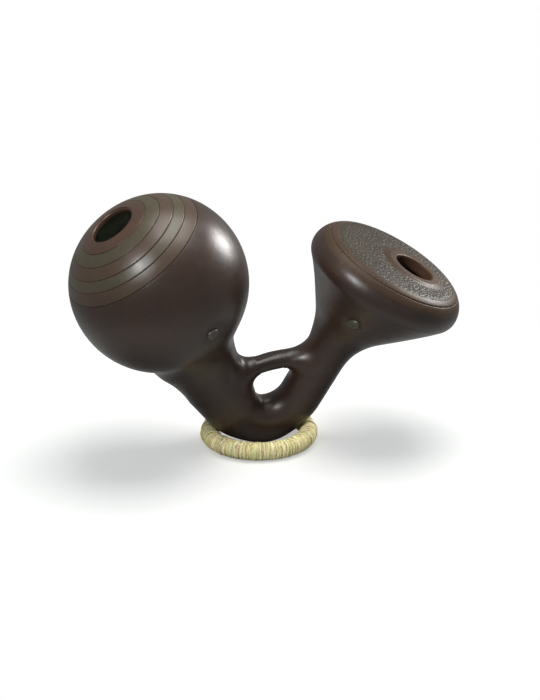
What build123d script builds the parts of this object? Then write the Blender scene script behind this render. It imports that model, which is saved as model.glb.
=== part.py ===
"""Two-chamber clay udu drum resting in a raffia-bound straw ring, in millimetres."""

import math
import os

from build123d import *

# Seat: where the drum's heel sits in the ring, and how far the drum leans in it.
RING_X = -3.95
RING_Y = 31.12
SEAT_FORWARD = -2.0
SEAT_HEIGHT = 27.6
SEAT_LEAN = 11.1

# Clay walls shared by the chambers, the heel and the head.
WALL = 6.5

# Ball chamber, its neck set off to one side. Places are in the drum's own plane, from the heel's lowest middle.
BALL_X = -112.8
BALL_Z = 178.9
BALL_RADIUS = 94.9
BALL_NECK_TILT = 29.9
BALL_NECK_RADIUS = 36.3
BALL_NECK_SWEEP = 114.7
BALL_NECK_OFFSET = 10.0
BALL_OFFSET_DEPTH = 34.3
BALL_STATIONS = 6
BALL_MOUTH_TILT = 34.3
BALL_MOUTH_RADIUS = 23.5
BALL_MOUTH_FLATTENING = 7.0
MOUTH_ROUNDING = 2.2
BAND_ANGLES = (25.0, 34.0, 42.6, 49.9, 58.0)
BAND_SPLIT = 66.0
BAND_GROOVE_WIDTH = 1.2
BAND_GROOVE_DEPTH = 0.7

# Horn chamber: a funnel that leans the other way, its neck set off to one side of its head.
HORN_X = 133.3
HORN_Z = 166.4
HORN_TILT = 27.1
HORN_RADIUS = 89.2
HORN_SHOULDER = 25.0
HORN_UNDERSIDE = 15.9
HORN_FLARE = 39.4
HORN_NECK_RADIUS = 24.4
HORN_NECK_SWEEP = 84.1
HORN_NECK_OFFSET = 13.0
HORN_OFFSET_DEPTH = 88.3
HORN_STATIONS = 7

# Head plate, its seam with the shoulder, and its collared sound hole.
HEAD_SEAM_ANGLE = 37.3
HEAD_SEAM_WIDTH = 0.8
HEAD_CROWN_RADIUS = 900.0
HEAD_HOLE_OFFSET = 22.0
HEAD_HOLE_RADIUS = 22.8
COLLAR_WIDTH = 13.5
COLLAR_HEIGHT = 1.8
COLLAR_SLOPE = 5.0

# Heel: a bent tube from the ball's neck to the horn's neck.
HEEL_TOP_RADIUS = 32.5
HEEL_BOTTOM_RADIUS = 24.0
HEEL_STEP = 13.0

# Bridge between the necks, above the finger hole: its centre line's ends and middle.
BRIDGE_BALL_END = (-28.0, 56.4)
BRIDGE_MIDDLE = (13.0, 71.9)
BRIDGE_HORN_END = (56.0, 71.9)
BRIDGE_THICKNESS = 19.0
BRIDGE_THICKNESS_FLARE = 16.0
BRIDGE_DEPTH = 25.0
BRIDGE_DEPTH_FLARE = 9.0
BRIDGE_STATIONS = 8

# Pressed pads: place along the axis, turn from the front, length, width.
BALL_SEAL_ALONG = -37.8
BALL_SEAL_TURN = 20.1
BALL_SEAL_LENGTH = 14.0
BALL_SEAL_WIDTH = 12.5
HORN_SEAL_ALONG = -41.8
HORN_SEAL_TURN = -27.5
HORN_SEAL_LENGTH = 18.0
HORN_SEAL_WIDTH = 12.0
SEAL_SUNK = 2.0
SEAL_PROUD = 0.9
SEAL_EDGE = 0.6

# Ring stand: a straw hoop bound with raffia.
RING_RADIUS = 55.2
CORE_RADIUS = 5.6
STRAND = 4.2
STRAND_GAP = 0.3
STRAND_SIDES = 6
WIND_PITCH = 13.2
KNOT_SPACE = 32.0
WIND_FROM = 150.0
GAP_STEP = 1.5
KNOT_ANGLE = 20.0
KNOT_ROLL = 50.0
KNOT_LIFT = 3.0
KNOT_LENGTH = 9.0
KNOT_RADIUS = 4.6
KNOT_END_RADIUS = 3.2

# The winding leaves room for the knot, and a flat is cut across the lowest facets, a tenth of the strand deep.
WIND_SPAN = 360 - KNOT_SPACE
TURNS = round(RING_RADIUS * math.radians(WIND_SPAN) / WIND_PITCH)
FOOT_FLAT = STRAND / 10
WIND_RADIUS = CORE_RADIUS + STRAND_GAP + STRAND / 2
RING_Z = WIND_RADIUS + STRAND / 2 - FOOT_FLAT


def unit(angle):
    """Direction in the drum's plane, turned from straight up towards +X."""
    turn = math.radians(angle)
    return Vector(math.sin(turn), 0, math.cos(turn))


def polar(radius, angle, centre=(0, 0)):
    """Point of a profile at an angle from its first axis."""
    turn = math.radians(angle)
    return (centre[0] + radius * math.cos(turn), centre[1] + radius * math.sin(turn))


def arc(centre, radius, start, end):
    """Arc of a profile round a centre, from one angle to another."""
    angles = (start, (start + end) / 2, end)
    return ThreePointArc(*(polar(radius, angle, centre) for angle in angles))


def turned(edges):
    """Solid of revolution about Z from a closed profile in radius and height."""
    return revolve(Plane.XZ * make_face(edges), Axis.Z)


# Frames of the turned pieces in the drum's plane.
BALL_CENTRE = Vector(BALL_X, 0, BALL_Z)
HORN_CENTRE = Vector(HORN_X, 0, HORN_Z)
BALL_FRAME = Pos(BALL_CENTRE) * Rot(0, -BALL_NECK_TILT, 0)
MOUTH_FRAME = Pos(BALL_CENTRE) * Rot(0, -BALL_MOUTH_TILT, 0)
HORN_FRAME = Pos(HORN_CENTRE) * Rot(0, HORN_TILT, 0)
SEAT = Pos(RING_X, RING_Y - SEAT_FORWARD, SEAT_HEIGHT) * Rot(SEAT_LEAN, 0, 0)

# Ball neck: an arc that leaves the ball and turns straight where the heel begins.
NECK_CENTRE_R = BALL_NECK_RADIUS + BALL_NECK_SWEEP
NECK_CENTRE_Z = -math.sqrt((BALL_RADIUS + BALL_NECK_SWEEP) ** 2 - NECK_CENTRE_R**2)
NECK_ANGLE = math.degrees(math.atan2(NECK_CENTRE_Z, NECK_CENTRE_R))
NECK_TOP = BALL_RADIUS * math.sin(math.radians(NECK_ANGLE))

# Horn outline: the rounding above and below its widest circle, the cone under it, and the neck's sweep.
SHOULDER_R = HORN_RADIUS - HORN_SHOULDER
CONE_TOP = polar(HORN_UNDERSIDE, -HORN_FLARE, (HORN_RADIUS - HORN_UNDERSIDE, 0))
SWEEP_R = HORN_NECK_RADIUS + HORN_NECK_SWEEP
CONE_BOTTOM_R = SWEEP_R - HORN_NECK_SWEEP * math.cos(math.radians(HORN_FLARE))
CONE_BOTTOM_Z = CONE_TOP[1] - (CONE_TOP[0] - CONE_BOTTOM_R) / math.tan(math.radians(HORN_FLARE))
HORN_NECK_END = CONE_BOTTOM_Z - HORN_NECK_SWEEP * math.sin(math.radians(HORN_FLARE))
SEAM = polar(HORN_SHOULDER, HEAD_SEAM_ANGLE, (SHOULDER_R, 0))
SEAM_TURN = math.degrees(HEAD_SEAM_WIDTH / HORN_SHOULDER)

# Heel: an arc that touches both neck axes and passes level through the seat point.
BALL_UP = unit(-BALL_NECK_TILT)
HORN_UP = unit(HORN_TILT)
BALL_NECK = BALL_CENTRE - unit(90 - BALL_NECK_TILT) * BALL_NECK_OFFSET
HORN_NECK = HORN_CENTRE - unit(HORN_TILT + 90) * HORN_NECK_OFFSET
SPREAD = math.radians(BALL_NECK_TILT + HORN_TILT)
BISECTOR = unit((HORN_TILT - BALL_NECK_TILT) / 2)
GAP_X = HORN_NECK.X - BALL_NECK.X
GAP_Z = HORN_NECK.Z - BALL_NECK.Z
BALL_REACH = (GAP_X * HORN_UP.Z - GAP_Z * HORN_UP.X) / math.sin(SPREAD)
AXES_MEET = BALL_NECK - BALL_UP * BALL_REACH
HEEL_RADIUS = -AXES_MEET.Z / (BISECTOR.Z / math.sin(SPREAD / 2) - 1)
HEEL_CENTRE = AXES_MEET + BISECTOR * (HEEL_RADIUS / math.sin(SPREAD / 2))


def settle(share):
    """Share of a change that is done: slow to start and slow to end."""
    share = min(max(share, 0), 1)
    return share**2 * (3 - 2 * share)


def ball_solid(inset):
    """Ball and neck, inset from the outer skin: a turned ball on lofted circles."""
    ball = BALL_RADIUS - inset
    sweep = BALL_NECK_SWEEP + inset
    foot = polar(ball, NECK_ANGLE)
    top = turned(
        [
            arc((0, 0), ball, 90, NECK_ANGLE),
            Line(foot, (0, foot[1])),
            Line((0, foot[1]), (0, ball)),
        ]
    )
    circles = []
    for step in range(BALL_STATIONS + 1):
        along = foot[1] + (NECK_CENTRE_Z - foot[1]) * step / BALL_STATIONS
        drift = BALL_NECK_OFFSET * settle((NECK_TOP - along) / BALL_OFFSET_DEPTH)
        radius = NECK_CENTRE_R - math.sqrt(sweep**2 - (along - NECK_CENTRE_Z) ** 2)
        circles.append(Pos(-drift, 0, along) * Circle(radius))
    return BALL_FRAME * (top + loft(circles))


def cap_radius(angle):
    """Radius of the ball's skin at an angle from the mouth axis: the ball is flatter round its mouth."""
    return BALL_RADIUS - BALL_MOUTH_FLATTENING * (1 - angle / BAND_SPLIT) ** 2


def cap_arc(start, end, inset):
    """Arc of the flattened cap between two angles from the mouth axis."""
    angles = (start, (start + end) / 2, end)
    return ThreePointArc(*(polar(cap_radius(angle) - inset, 90 - angle) for angle in angles))


def banded_profile():
    """Upper part of the ball about the mouth axis: bands, rounded sound hole and wall."""
    round_r = BALL_MOUTH_RADIUS + MOUTH_ROUNDING
    rim = math.degrees(math.asin(round_r / BALL_RADIUS))
    outer = cap_radius(rim)
    outer_turn = math.degrees(math.asin(round_r / (outer - MOUTH_ROUNDING)))
    inner_turn = math.degrees(math.asin(round_r / (outer - WALL + MOUTH_ROUNDING)))
    outer_top = polar(outer - MOUTH_ROUNDING, 90 - outer_turn)
    inner_top = polar(outer - WALL + MOUTH_ROUNDING, 90 - inner_turn)
    outer_end = polar(MOUTH_ROUNDING, 90 - outer_turn, outer_top)
    inner_end = polar(MOUTH_ROUNDING, 270 - inner_turn, inner_top)
    half = math.degrees(BAND_GROOVE_WIDTH / 2 / BALL_RADIUS)
    split_z = BALL_RADIUS * math.cos(math.radians(BAND_SPLIT))
    inner_split = math.degrees(math.acos(split_z / (BALL_RADIUS - WALL)))
    inner_mid = (rim + inner_split) / 2
    edges = []
    here = BAND_SPLIT
    for angle in reversed(BAND_ANGLES):
        edges.append(cap_arc(here, angle + half, 0))
        bottom = polar(cap_radius(angle) - BAND_GROOVE_DEPTH, 90 - angle)
        edges.append(Line(polar(cap_radius(angle + half), 90 - angle - half), bottom))
        edges.append(Line(bottom, polar(cap_radius(angle - half), 90 - angle + half)))
        here = angle - half
    between = (here + outer_turn) / 2
    inner_bow = polar(cap_radius(inner_mid) - WALL, 90 - inner_mid)
    inner_foot = polar(BALL_RADIUS - WALL, 90 - inner_split)
    edges += [
        ThreePointArc(edges[-1] @ 1, polar(cap_radius(between), 90 - between), outer_end),
        arc(outer_top, MOUTH_ROUNDING, 90 - outer_turn, 180),
        Line((BALL_MOUTH_RADIUS, outer_top[1]), (BALL_MOUTH_RADIUS, inner_top[1])),
        arc(inner_top, MOUTH_ROUNDING, 180, 270 - inner_turn),
        ThreePointArc(inner_end, inner_bow, inner_foot),
        Line(inner_foot, polar(BALL_RADIUS, 90 - BAND_SPLIT)),
    ]
    return edges, split_z


def seal_frame(frame, along, radius, turn, slope):
    """Frame on a turned skin: Z out of the skin, X along its profile."""
    return frame * Rot(0, 0, turn - 90) * Pos(radius, 0, along) * Rot(0, 90 - slope, 0)


def seal_solid(length, width, top, bottom):
    """Oval pad between two heights."""
    pad = extrude(Ellipse(length / 2, width / 2), top - bottom)
    return Pos(0, 0, bottom) * pad


def ball_seal_frame():
    radius = math.sqrt(BALL_RADIUS**2 - BALL_SEAL_ALONG**2)
    slope = math.degrees(math.asin(BALL_SEAL_ALONG / BALL_RADIUS))
    return seal_frame(BALL_FRAME, BALL_SEAL_ALONG, radius, BALL_SEAL_TURN, slope)


def horn_seal_frame():
    side = math.sin(math.radians(HORN_SEAL_TURN))
    share = (CONE_TOP[1] - HORN_SEAL_ALONG) / HORN_OFFSET_DEPTH
    drift_slope = 6 * share * (1 - share) * HORN_NECK_OFFSET / HORN_OFFSET_DEPTH
    slope = -math.degrees(math.atan(math.tan(math.radians(HORN_FLARE)) + drift_slope * side))
    frame = HORN_FRAME * Pos(-horn_drift(HORN_SEAL_ALONG), 0, 0)
    return seal_frame(frame, HORN_SEAL_ALONG, horn_radius(HORN_SEAL_ALONG, 0), HORN_SEAL_TURN, slope)


def seal(frame, length, width):
    """Clay pad with a softened face."""
    pad = seal_solid(length, width, SEAL_PROUD, -SEAL_SUNK)
    face = pad.faces().sort_by(Axis.Z)[-1]
    return frame * fillet(face.edges(), SEAL_EDGE)


def ball_chamber():
    """Hollow ball with its neck, turned bands, sound hole and the pocket for its pad."""
    edges, split_z = banded_profile()
    side = 4 * BALL_RADIUS
    above = Box(side, side, side, align=(Align.CENTER, Align.CENTER, Align.MIN))
    shell = ball_solid(0) - ball_solid(WALL)
    shell -= MOUTH_FRAME * Pos(0, 0, split_z) * above
    shell += MOUTH_FRAME * turned(edges)
    pocket = seal_solid(BALL_SEAL_LENGTH, BALL_SEAL_WIDTH, WALL, -SEAL_SUNK)
    return shell - ball_seal_frame() * pocket


def horn_drift(along):
    """How far the funnel's centre has moved off the head's axis at a depth along it."""
    return HORN_NECK_OFFSET * settle((CONE_TOP[1] - along) / HORN_OFFSET_DEPTH)


def horn_radius(along, inset):
    """Radius of the cone and of the neck's sweep, inset from the outer skin."""
    sweep = HORN_NECK_SWEEP + inset
    rise = along - HORN_NECK_END
    if rise < sweep * math.sin(math.radians(HORN_FLARE)):
        return SWEEP_R - math.sqrt(sweep**2 - rise**2)
    top = polar(HORN_UNDERSIDE - inset, -HORN_FLARE, (HORN_RADIUS - HORN_UNDERSIDE, 0))
    return top[0] - (top[1] - along) * math.tan(math.radians(HORN_FLARE))


def horn_solid(inset):
    """Funnel below the seam, inset from the outer skin: a turned rim on lofted circles."""
    under = HORN_UNDERSIDE - inset
    shoulder = HORN_SHOULDER - inset
    under_centre = (HORN_RADIUS - HORN_UNDERSIDE, 0)
    end_angle = HEAD_SEAM_ANGLE - SEAM_TURN
    foot = polar(under, -HORN_FLARE, under_centre)
    edge = polar(shoulder, end_angle, (SHOULDER_R, 0))
    lip_r = edge[0] - (HEAD_SEAM_WIDTH if inset == 0 else 0)
    rim = turned(
        [
            Line((0, foot[1]), foot),
            arc(under_centre, under, -HORN_FLARE, 0),
            arc((SHOULDER_R, 0), shoulder, 0, end_angle),
            Line(edge, (lip_r, SEAM[1])),
            Line((lip_r, SEAM[1]), (0, SEAM[1])),
            Line((0, SEAM[1]), (0, foot[1])),
        ]
    )
    circles = []
    for step in range(HORN_STATIONS + 1):
        along = foot[1] + (HORN_NECK_END - foot[1]) * step / HORN_STATIONS
        circles.append(Pos(-horn_drift(along), 0, along) * Circle(horn_radius(along, inset)))
    return HORN_FRAME * (rim + loft(circles))


def horn_chamber():
    """Hollow funnel, open at the seam, with the pocket for its pad."""
    pocket = seal_solid(HORN_SEAL_LENGTH, HORN_SEAL_WIDTH, WALL, -SEAL_SUNK)
    return horn_solid(0) - horn_solid(WALL) - horn_seal_frame() * pocket


def head_hole():
    """Sound hole through the head, its upper edge rounded to touch the collar's top."""
    deep = 2 * (HORN_SHOULDER + WALL)
    round_r = HEAD_HOLE_RADIUS + MOUTH_ROUNDING
    round_z = COLLAR_HEIGHT - MOUTH_ROUNDING
    above = COLLAR_HEIGHT + MOUTH_ROUNDING
    return turned(
        [
            Line((0, -deep), (HEAD_HOLE_RADIUS, -deep)),
            Line((HEAD_HOLE_RADIUS, -deep), (HEAD_HOLE_RADIUS, round_z)),
            arc((round_r, round_z), MOUTH_ROUNDING, 180, 90),
            Line((round_r, COLLAR_HEIGHT), (round_r, above)),
            Line((round_r, above), (0, above)),
            Line((0, above), (0, -deep)),
        ]
    )


def horn_head():
    """Crowned plate whose edge carries on the shoulder's round, with a collared hole."""
    crown_centre = -math.sqrt((HEAD_CROWN_RADIUS - HORN_SHOULDER) ** 2 - SHOULDER_R**2)
    touch = math.degrees(math.atan2(-crown_centre, SHOULDER_R))
    edge = polar(HORN_SHOULDER, HEAD_SEAM_ANGLE + SEAM_TURN, (SHOULDER_R, 0))
    lip_r = polar(HORN_SHOULDER, HEAD_SEAM_ANGLE - SEAM_TURN, (SHOULDER_R, 0))[0] - HEAD_SEAM_WIDTH
    plate = turned(
        [
            Line((0, SEAM[1]), (lip_r, SEAM[1])),
            Line((lip_r, SEAM[1]), edge),
            arc((SHOULDER_R, 0), HORN_SHOULDER, HEAD_SEAM_ANGLE + SEAM_TURN, touch),
            arc((0, crown_centre), HEAD_CROWN_RADIUS, touch, 90),
            Line((0, crown_centre + HEAD_CROWN_RADIUS), (0, SEAM[1])),
        ]
    )
    turn = math.degrees(math.asin(HEAD_HOLE_OFFSET / HEAD_CROWN_RADIUS))
    hole_frame = Pos(0, 0, crown_centre) * Rot(0, turn, 0) * Pos(0, 0, HEAD_CROWN_RADIUS)
    collar_r = HEAD_HOLE_RADIUS + COLLAR_WIDTH
    collar = turned(
        [
            Line((0, -COLLAR_HEIGHT), (collar_r, -COLLAR_HEIGHT)),
            Line((collar_r, -COLLAR_HEIGHT), (collar_r - COLLAR_SLOPE, COLLAR_HEIGHT)),
            Line((collar_r - COLLAR_SLOPE, COLLAR_HEIGHT), (0, COLLAR_HEIGHT)),
            Line((0, COLLAR_HEIGHT), (0, -COLLAR_HEIGHT)),
        ]
    )
    head = plate + hole_frame * collar
    return HORN_FRAME * (head - hole_frame * head_hole())


def heel_radius(angle):
    """Tube radius round the bend: it narrows from the ball's neck to the bottom, then meets the horn's."""
    if angle > 0:
        return HEEL_BOTTOM_RADIUS + (HORN_NECK_RADIUS - HEEL_BOTTOM_RADIUS) * settle(angle / (90 - HORN_TILT))
    return HEEL_BOTTOM_RADIUS + (HEEL_TOP_RADIUS - HEEL_BOTTOM_RADIUS) * settle(-angle / (90 - BALL_NECK_TILT))


def straight_stations(start, end, start_radius, end_radius):
    """Circles from one point up to, and without, another."""
    count = math.ceil((end - start).length / HEEL_STEP)
    way = (end - start).normalized()
    stations = []
    for step in range(count):
        share = step / count
        stations.append((start + (end - start) * share, way, start_radius + (end_radius - start_radius) * share))
    return stations


def heel_stations():
    """Centre, direction and radius of the circles along the heel."""
    left = BALL_NECK_TILT - 90
    right = 90 - HORN_TILT
    count = math.ceil(HEEL_RADIUS * math.radians(right - left) / HEEL_STEP)
    bend = []
    for step in range(count + 1):
        angle = left + (right - left) * step / count
        turn = math.radians(angle)
        centre = HEEL_CENTRE + Vector(math.sin(turn), 0, -math.cos(turn)) * HEEL_RADIUS
        bend.append((centre, Vector(math.cos(turn), 0, math.sin(turn)), heel_radius(angle)))
    start = BALL_NECK + BALL_UP * NECK_CENTRE_Z
    finish = HORN_NECK + HORN_UP * HORN_NECK_END
    rise = straight_stations(finish, bend[-1][0], HORN_NECK_RADIUS, HORN_NECK_RADIUS)
    rise = [(centre, way * -1, radius) for centre, way, radius in reversed(rise)]
    return straight_stations(start, bend[0][0], BALL_NECK_RADIUS, HEEL_TOP_RADIUS) + bend + rise


def heel_tube(inset):
    """Lofted tube through the heel's stations, inset from the outer skin."""
    rings = []
    for centre, along, radius in heel_stations():
        rings.append(Plane(centre, x_dir=(0, 1, 0), z_dir=along) * Circle(radius - inset))
    return loft(rings)


def finger_bridge(outsides):
    """Strap of oval section between the necks, flared at both roots and cut to the necks' skins."""
    ends = (BRIDGE_BALL_END, BRIDGE_MIDDLE, BRIDGE_HORN_END)
    centre = Spline(*(Vector(x, 0, z) for x, z in ends))
    rings = []
    for step in range(BRIDGE_STATIONS + 1):
        share = step / BRIDGE_STATIONS
        flare = abs(2 * share - 1) ** 3
        deep = BRIDGE_DEPTH + BRIDGE_DEPTH_FLARE * flare
        thick = BRIDGE_THICKNESS + BRIDGE_THICKNESS_FLARE * flare
        plane = Plane(centre @ share, x_dir=(0, 1, 0), z_dir=centre % share)
        rings.append(plane * Ellipse(deep / 2, thick / 2))
    strap = loft(rings)
    for outside in outsides:
        strap -= outside
    return strap


def ring_frame(turn):
    """Outward and forward directions of the hoop at a turn about its axis."""
    angle = math.radians(turn)
    outward = Vector(math.cos(angle), math.sin(angle), 0)
    forward = Vector(-math.sin(angle), math.cos(angle), 0)
    return outward, forward


def wind_point(turn, roll):
    """Point of the strand's centre line on the hoop, and its direction there."""
    outward, forward = ring_frame(turn)
    lift = math.radians(roll)
    up = Vector(0, 0, 1)
    point = outward * (RING_RADIUS + WIND_RADIUS * math.cos(lift)) + up * (WIND_RADIUS * math.sin(lift))
    climb = outward * (-math.sin(lift)) + up * math.cos(lift)
    reach = RING_RADIUS + WIND_RADIUS * math.cos(lift)
    step = forward * (reach * WIND_SPAN / TURNS / 360) + climb * WIND_RADIUS
    return point, step.normalized()


def biarc(start, start_way, end, end_way):
    """Two arcs that leave one point and reach another in the given directions."""
    chord = end - start
    both = start_way + end_way
    square = 2 * (1 - start_way.dot(end_way))
    reach = chord.dot(both)
    handle = (math.sqrt(reach**2 + square * chord.dot(chord)) - reach) / square
    joint = (start + end + (start_way - end_way) * handle) / 2
    return [TangentArc(start, joint, tangent=start_way), TangentArc(end, joint, tangent=end_way * -1)]


def knot_place():
    """Middle of the knot, on the upper outside of the binding, and the hoop's way there."""
    outward, forward = ring_frame(KNOT_ANGLE)
    lift = math.radians(KNOT_ROLL)
    rise = WIND_RADIUS + KNOT_LIFT
    middle = outward * (RING_RADIUS + rise * math.cos(lift)) + Vector(0, 0, rise * math.sin(lift))
    return middle, forward


def strand_path():
    """Centre line of the raffia: out of the knot, round the hoop, and back to the knot."""
    middle, forward = knot_place()
    out = middle + forward * (KNOT_LENGTH / 2)
    back = middle - forward * (KNOT_LENGTH / 2)
    first = KNOT_ANGLE + KNOT_SPACE / 2
    halves = 2 * TURNS - 1
    stops = []
    for half in range(halves + 1):
        turn = first + WIND_SPAN * half / halves
        stops.append(wind_point(turn, WIND_FROM + 180 * half))
    edges = [Line(out, out + forward * STRAND)]
    edges += biarc(out + forward * STRAND, forward, *stops[0])
    for here, there in zip(stops, stops[1:]):
        edges += biarc(*here, *there)
    edges += biarc(*stops[-1], back - forward * STRAND, forward)
    edges.append(Line(back - forward * STRAND, back))
    return edges


def strand_gap(edges):
    """Least clear distance between parts of the strand that lie more than half a turn apart."""
    lengths = [edge.length for edge in edges]
    points = []
    done = 0.0
    for edge, length in zip(edges, lengths):
        count = max(2, math.ceil(length / GAP_STEP))
        for step in range(count):
            points.append((done + length * step / count, edge @ (step / count)))
        done += length
    apart = math.pi * WIND_RADIUS
    least = RING_RADIUS
    for index, (at, point) in enumerate(points):
        for to, other in points[:index]:
            if at - to > apart:
                least = min(least, (point - other).length)
    return least - STRAND


def ring_wrap(edges):
    """One unbroken faceted strand wound round the hoop, cut flat where it stands."""
    path = Wire(edges)
    section = Plane(path @ 0, z_dir=path % 0) * RegularPolygon(STRAND / 2, STRAND_SIDES)
    strand = sweep(section, path)
    floor = Pos(0, 0, -RING_Z) * Box(
        4 * RING_RADIUS, 4 * RING_RADIUS, 2 * STRAND, align=(Align.CENTER, Align.CENTER, Align.MAX)
    )
    return Pos(RING_X, RING_Y, RING_Z) * (strand - floor)


def ring_knot():
    """Tight knot with two short tails, its flat ends square to the strand."""
    middle, forward = knot_place()
    place = Plane(middle, z_dir=forward)
    half = KNOT_LENGTH / 2
    belly = ThreePointArc((KNOT_END_RADIUS, -half), (KNOT_RADIUS, 0), (KNOT_END_RADIUS, half))
    ends = Polyline((KNOT_END_RADIUS, half), (0, half), (0, -half), (KNOT_END_RADIUS, -half))
    return Pos(RING_X, RING_Y, RING_Z) * (place * turned([belly, ends]))


def ring_core():
    return Pos(RING_X, RING_Y, RING_Z) * Torus(RING_RADIUS, CORE_RADIUS)


def main():
    ball = ball_solid(0)
    heel = heel_tube(0)
    horn = horn_solid(0)
    drum = {
        "ball_chamber": ball_chamber(),
        "ball_seal": seal(ball_seal_frame(), BALL_SEAL_LENGTH, BALL_SEAL_WIDTH),
        "heel_bend": heel - heel_tube(WALL),
        "finger_bridge": finger_bridge((ball, heel, horn)),
        "horn_chamber": horn_chamber(),
        "horn_head": horn_head(),
        "horn_seal": seal(horn_seal_frame(), HORN_SEAL_LENGTH, HORN_SEAL_WIDTH),
    }
    nodes = {name: SEAT * piece for name, piece in drum.items()}
    nodes["ring_core"] = ring_core()
    strand = strand_path()
    nodes["ring_wrap"] = ring_wrap(strand)
    nodes["ring_knot"] = ring_knot()
    os.makedirs("parts", exist_ok=True)
    for name, piece in nodes.items():
        export_step(piece, f"parts/{name}.step")
        print(name, round(piece.volume), [round(v, 1) for v in piece.bounding_box().size])
    print("least gap of the strand to itself", round(strand_gap(strand), 2))


main()
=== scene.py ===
import math

import bmesh
import bpy
import numpy as np
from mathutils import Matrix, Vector


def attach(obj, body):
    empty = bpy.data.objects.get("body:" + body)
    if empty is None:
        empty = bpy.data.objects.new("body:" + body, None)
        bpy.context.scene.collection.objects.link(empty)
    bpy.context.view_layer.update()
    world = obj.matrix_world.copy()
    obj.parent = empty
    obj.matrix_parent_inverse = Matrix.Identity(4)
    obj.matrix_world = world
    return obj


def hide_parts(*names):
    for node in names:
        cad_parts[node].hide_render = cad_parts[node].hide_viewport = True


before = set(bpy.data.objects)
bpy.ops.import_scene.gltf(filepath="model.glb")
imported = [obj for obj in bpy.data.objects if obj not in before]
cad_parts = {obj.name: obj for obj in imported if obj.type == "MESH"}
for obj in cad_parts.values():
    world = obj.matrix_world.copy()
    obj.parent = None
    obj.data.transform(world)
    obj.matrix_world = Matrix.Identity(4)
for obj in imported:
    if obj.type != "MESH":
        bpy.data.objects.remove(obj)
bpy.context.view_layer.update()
RNG = np.random.default_rng(11)

# Sizes in millimetres, as in the CAD. The drum's own plane leans in the ring.
MM = 0.001
TINY = 1e-9
FULL_TURN = 2 * math.pi
FRONT = np.array([0, -1.0, 0])
Y_AXIS = np.array([0, 1.0, 0])
Z_AXIS = np.array([0, 0, 1.0])
SEAT = np.array([-3.95, 33.12, 27.6])
LEAN = math.radians(11.1)

# Ball chamber with its neck, mouth and incised bands. Band angles are degrees from the mouth axis.
BALL = np.array([-112.8, 0.0, 178.9])
BALL_R = 94.9
BALL_TILT = -29.9
BALL_NECK_R = 36.3
BALL_SWEEP = 114.7
BALL_DRIFT = -10.0
BALL_DRIFT_DEPTH = 34.3
MOUTH_TILT = -34.3
MOUTH_R = 23.5
MOUTH_ROUND = 2.2
FLATTEN = 7.0
FLATTEN_TO = 66.0
WALL = 6.5
BANDS = (25.0, 34.0, 42.6, 49.9, 58.0)
BAND_MARGIN = 0.7
GROOVE_DEEP = 0.8
GROOVE_WIDE = 0.28
GROOVE_REACH = 0.7
GROOVE_STEP = 0.07
CAP_STEP = 0.7
RIM_STEP = 0.3
EDGE_FADE = 0.3
ANGLE_SLACK = 1e-6
ANGLE_DIGITS = 3
INNER_FROM = 2
INNER_TO = 150
INNER_DIP = 3
INNER_DIP_TO = 1.1
LIP_ROWS = 9
INNER_ROWS = 40
CAP_COLUMNS = 300

# Funnel with its shoulder, underside and neck.
HORN = np.array([133.3, 0.0, 166.4])
HORN_TILT = 27.1
HORN_R = 89.2
SHOULDER = 25.0
UNDERSIDE = 15.9
FLARE = math.radians(39.4)
HORN_NECK_R = 24.4
HORN_SWEEP = 84.1
HORN_DRIFT = 13.0
HORN_DRIFT_DEPTH = 88.3

# Head: crown, collared hole, stipple and the groove round the rim.
SEAM_ANGLE = 37.3
SEAM_MARGIN = 3.0
CROWN = 2600.0
HOLE_OFFSET = 21.0
HOLE_FORWARD = 4.5
HOLE_R = 22.0
COLLAR_R = 35.5
COLLAR_HIGH = 1.5
COLLAR_SLOPE = 5.0
STIPPLE_R = 71.5
STIPPLE_EDGE = 1.6
STIPPLE_SUNK = 0.7
BUMP_SIZE = 2.6
BUMP_JITTER = 0.95
BUMP_HIGH = 0.5
BUMP_LEAST = 0.55
BUMP_SPREAD = 0.45
BUMP_REACH = 0.72
# Bump tops above this height are painted lighter by this share: a painted sheen on the stipple's crests.
BUMP_SHEEN_FROM = 0.35
BUMP_PAINTED_SHEEN = 0.5
BUMP_CELLS = 128
BUMP_SEED = 5
RIM_GROOVE = 55.0
RIM_GROOVE_DEEP = 0.8
RIM_GROOVE_WIDE = 1.5
HOLE_LIP_ROWS = 8
HEAD_COLUMNS = 560
# Shares of the way from the hole to the seam, with the number of circles in each stretch.
HEAD_STRETCHES = ((0, 0.24, 26), (0.24, 0.85, 92), (0.85, 1, 44))
# Depth under the collar, and how much wider than the hole, or how wide from the axis.
HOLE_WALL = ((5.0, 0.0), (9.0, 0.0), (12.5, 0.0), (13.2, 1.2))
HEAD_INSIDE = ((13.4, 45.0), (14.0, 62.0))
INSIDE_SHIFT = 0.3

# Heel and the strap over the finger hole.
HEEL_TOP_R = 32.5
HEEL_R = 24.0
HEEL_FULLER = 6.0
HEEL_FULL = np.array([0.0, -0.53, -0.85])
HEEL_FULL_TURN = math.radians(55)
HEEL_FULL_POWER = 5
HEEL_FROM = math.radians(-90 - BALL_TILT)
HEEL_TO = math.radians(90 - HORN_TILT)
BRIDGE = ((-28.0, 56.4), (13.0, 71.9), (56.0, 71.9))
BRIDGE_THICK = 19.0
BRIDGE_DEEP = 25.0
BRIDGE_BLEND = 18.0

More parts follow.
